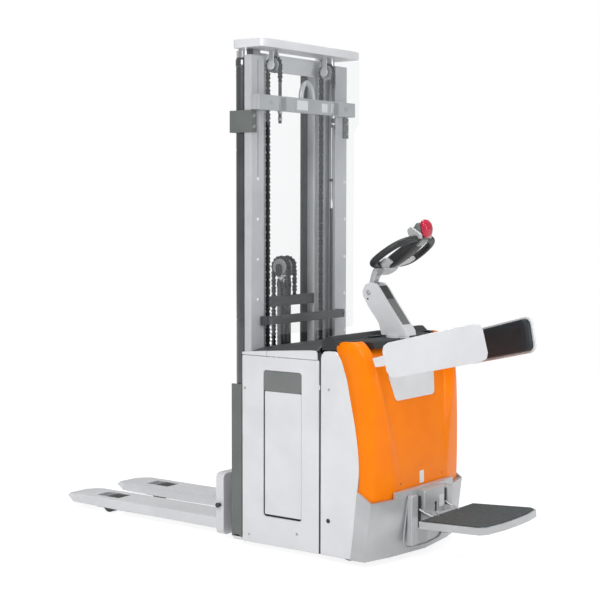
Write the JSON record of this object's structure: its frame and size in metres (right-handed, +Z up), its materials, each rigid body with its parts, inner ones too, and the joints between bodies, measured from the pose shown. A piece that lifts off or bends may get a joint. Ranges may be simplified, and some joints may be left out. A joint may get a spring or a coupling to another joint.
{
  "type": "ride-on pallet stacker",
  "caption": "Ride-on electric pallet stacker with three-stage mast, forks over support legs, folding platform and side guards.",
  "frame": {"origin": "on the floor under the middle of the truck's outline", "axes": "+X from the forks to the operator's platform, +Y to the truck's far side in the picture, +Z up"},
  "size_m": [2.572, 0.8, 2.372],
  "materials": {
    "silver_paint": "fine metallic silver-grey powder coat",
    "light_paint": "light metallic grey paint",
    "orange_cover": "glossy moulded plastic",
    "dark_paint": "dark grey powder coat",
    "black_plastic": "fine-grained moulding",
    "black_cylinder": "glossy black paint",
    "rod_chrome": "hard chrome",
    "chain_steel": "oiled steel",
    "battery_block": "plain",
    "mat_rubber": "ribbed rubber",
    "wheel_tread": "cast polyurethane",
    "guard_pad": "soft foam skin",
    "red_button": "glossy moulded plastic",
    "clear_screen": "clear polycarbonate"
  },
  "bodies": {
    "truck": {"chassis": "silver_paint", "battery": "battery_block", "battery_covers": "light_paint", "drive_hood": "light_paint", "motor_cover": "orange_cover", "dashboard": "black_plastic", "guard_bosses": "silver_paint", "outer_columns": "light_paint", "crossbar_upper": "silver_paint", "crossbar_lower": "dark_paint", "lift_barrels": "black_cylinder", "mast_brackets": "dark_paint", "mast_screen": "clear_screen", "support_legs": "dark_paint"},
    "lid": {"battery_lid": "light_paint", "lid_top": "dark_paint"},
    "platform": {"platform": "silver_paint", "platform_mat": "mat_rubber"},
    "guard_near": {"guard_plate_near": "light_paint", "guard_pad_near": "guard_pad"},
    "guard_far": {"guard_plate_far": "light_paint", "guard_pad_far": "guard_pad"},
    "tiller_foot": {"tiller_foot": "silver_paint"},
    "tiller_head": {"tiller_head": "silver_paint", "tiller_loops": "black_plastic", "tiller_button": "red_button"},
    "middle_mast": {"middle_rails": "dark_paint", "crosshead": "light_paint", "lift_rods": "rod_chrome", "chain_sheaves": "chain_steel", "lift_chains": "chain_steel"},
    "inner_mast": {"inner_rails": "dark_paint", "inner_ties": "dark_paint", "free_lift_barrel": "black_cylinder"},
    "free_lift": {"free_lift_rod": "rod_chrome", "free_lift_pulleys": "chain_steel"},
    "carriage": {"fork_carriage": "light_paint", "fork_near": "light_paint", "fork_far": "light_paint"},
    "load_wheel_near": {"load_wheel_near": "wheel_tread"},
    "load_wheel_far": {"load_wheel_far": "wheel_tread"},
    "drive_unit": {"drive_unit": "dark_paint"},
    "drive_wheel": {"drive_wheel": "wheel_tread"},
    "castor": {"castor_fork": "dark_paint"},
    "castor_wheels": {"castor_wheels": "wheel_tread"}
  },
  "joints": [
    {"name": "middle_lift", "type": "slide", "parent": "truck", "child": "middle_mast", "axis": [0, 0, 1], "range_m": [0, 1.45]},
    {"name": "inner_lift", "type": "slide", "parent": "middle_mast", "child": "inner_mast", "axis": [0, 0, 1], "range_m": [0, 1.45], "deforming": ["lift_chains"]},
    {"name": "carriage_lift", "type": "slide", "parent": "inner_mast", "child": "carriage", "axis": [0, 0, 1], "range_m": [0, 1.2]},
    {"name": "free_rod_lift", "type": "slide", "parent": "inner_mast", "child": "free_lift", "axis": [0, 0, 1], "range_m": [0, 0.6]},
    {"name": "lid_hinge", "type": "hinge", "parent": "truck", "child": "lid", "pos_m": [0.476, 0, 0.985], "axis": [0, 1, 0], "range_deg": [0, 60]},
    {"name": "platform_fold", "type": "hinge", "parent": "truck", "child": "platform", "pos_m": [0.909, 0, 0.205], "axis": [0, -1, 0], "range_deg": [0, 80]},
    {"name": "guard_near_fold", "type": "hinge", "parent": "truck", "child": "guard_near", "pos_m": [0.83346, -0.34359, 0.93195], "axis": [0.299, -0.9542, 0], "range_deg": [0, 77]},
    {"name": "guard_far_fold", "type": "hinge", "parent": "truck", "child": "guard_far", "pos_m": [0.83346, 0.34359, 0.93195], "axis": [-0.299, -0.9542, 0], "range_deg": [0, 77]},
    {"name": "drive_steer", "type": "hinge", "parent": "truck", "child": "drive_unit", "pos_m": [0.644, 0.11, 0.273], "axis": [0, 0, 1], "range_deg": [-88, 88]},
    {"name": "tiller_steer", "type": "hinge", "parent": "truck", "child": "tiller_foot", "pos_m": [0.654, 0, 1], "axis": [0, 0, 1], "range_deg": [-88, 88]},
    {"name": "tiller_tilt", "type": "hinge", "parent": "tiller_foot", "child": "tiller_head", "pos_m": [0.519, 0, 1.201], "axis": [0, -1, 0], "range_deg": [-30, 50]},
    {"name": "drive_wheel_spin", "type": "hinge", "parent": "drive_unit", "child": "drive_wheel", "pos_m": [0.644, 0.11, 0.115], "axis": [0, 1, 0], "continuous": true},
    {"name": "castor_swivel", "type": "hinge", "parent": "truck", "child": "castor", "pos_m": [0.634, -0.256, 0.262], "axis": [0, 0, 1], "continuous": true},
    {"name": "castor_spin", "type": "hinge", "parent": "castor", "child": "castor_wheels", "pos_m": [0.6, -0.256, 0.07], "axis": [0, 1, 0], "continuous": true},
    {"name": "load_wheel_near_spin", "type": "hinge", "parent": "truck", "child": "load_wheel_near", "pos_m": [-0.986, -0.19, 0.0425], "axis": [0, 1, 0], "continuous": true},
    {"name": "load_wheel_far_spin", "type": "hinge", "parent": "truck", "child": "load_wheel_far", "pos_m": [-0.986, 0.19, 0.0425], "axis": [0, 1, 0], "continuous": true}
  ],
  "couplings": [
    {"joint": "inner_lift", "follows": "middle_lift", "ratio": 1},
    {"joint": "free_rod_lift", "follows": "carriage_lift", "ratio": 0.5},
    {"joint": "tiller_steer", "follows": "drive_steer", "ratio": 1}
  ]
}
